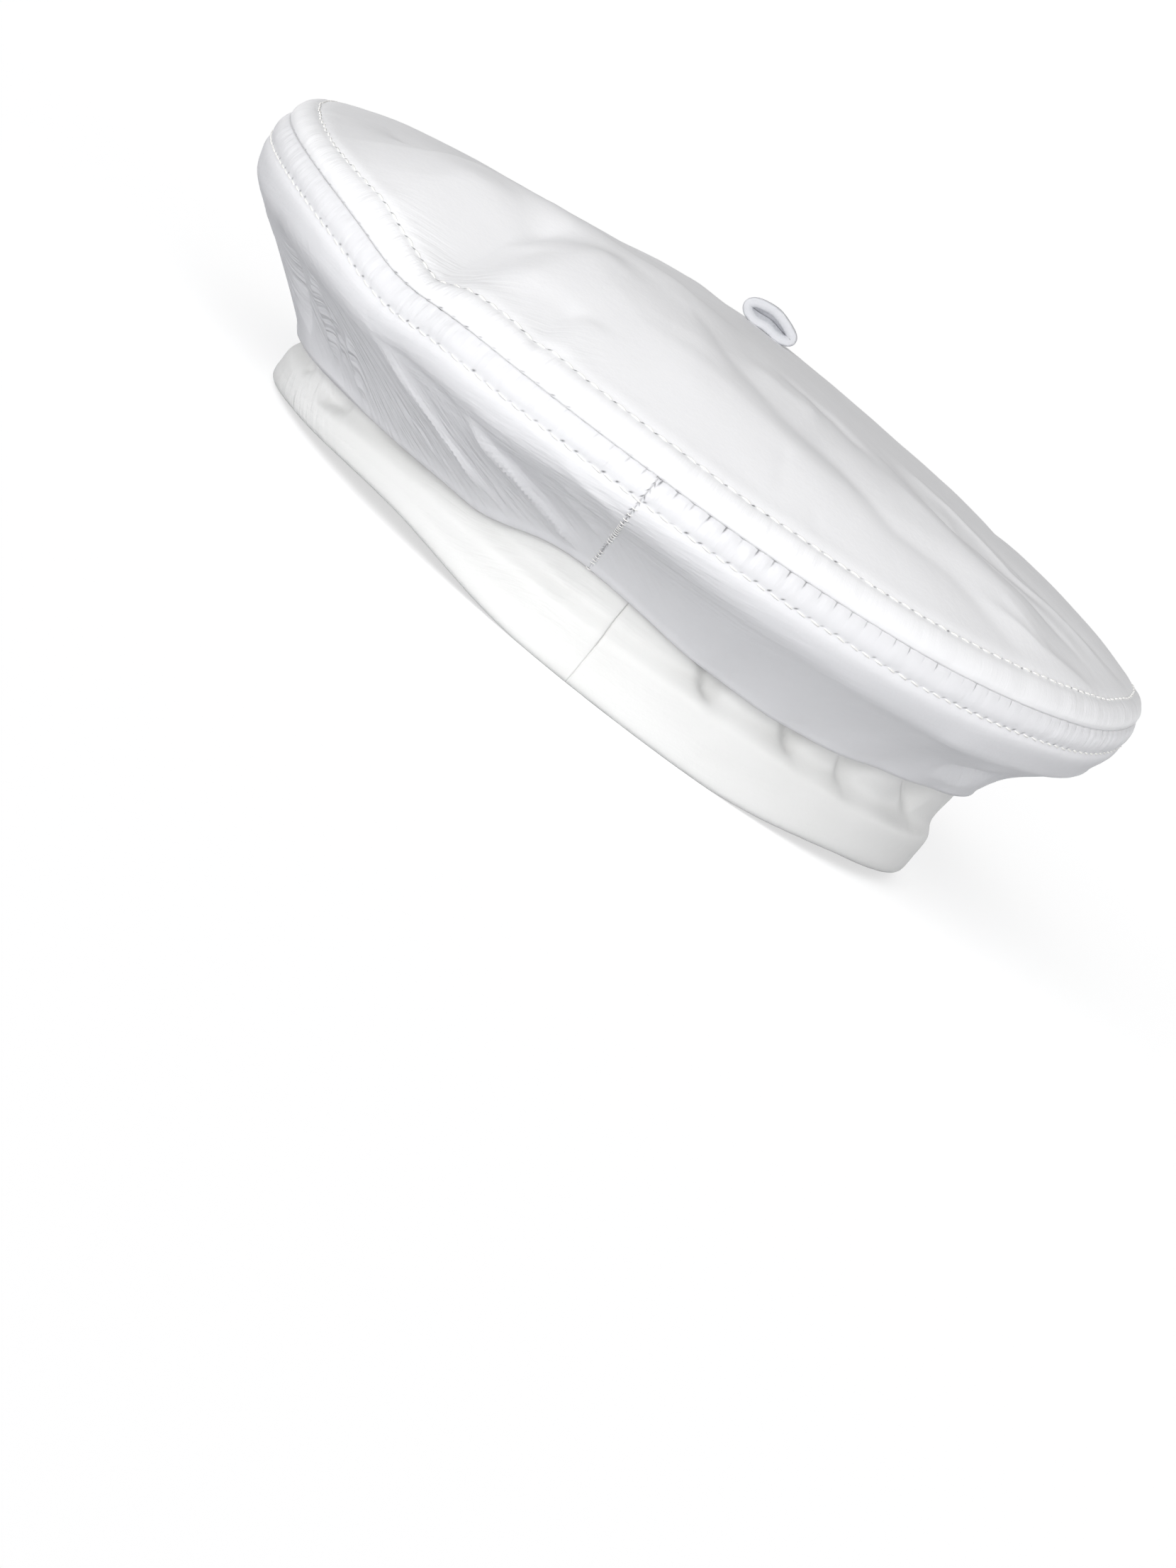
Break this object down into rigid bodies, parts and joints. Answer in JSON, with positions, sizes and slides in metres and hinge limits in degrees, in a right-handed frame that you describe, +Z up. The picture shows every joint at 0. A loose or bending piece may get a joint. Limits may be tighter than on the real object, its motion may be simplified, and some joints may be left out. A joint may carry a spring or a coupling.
{
  "type": "sailor cap",
  "caption": "Soft brimless leather cap: a wide round crown slumped over a plain headband with a folded hem, and a small loop at the middle of the crown.",
  "frame": {"origin": "under the middle of the crown's outline, on the plane that the hem rests on", "axes": "+Z up out of the crown, +Y towards the wearer's face, +X to the wearer's right; both seams are at the back, near -Y"},
  "size_m": [0.2479, 0.2479, 0.0886],
  "materials": {
    "crown_leather": "smooth white garment leather, semi-gloss, with fine creases",
    "band_leather": "warm white garment leather with fine grain, satin"
  },
  "bodies": {
    "root": {"crown_top": "crown_leather", "side_panel": "crown_leather", "headband": "band_leather", "top_loop": "crown_leather"}
  },
  "joints": []
}
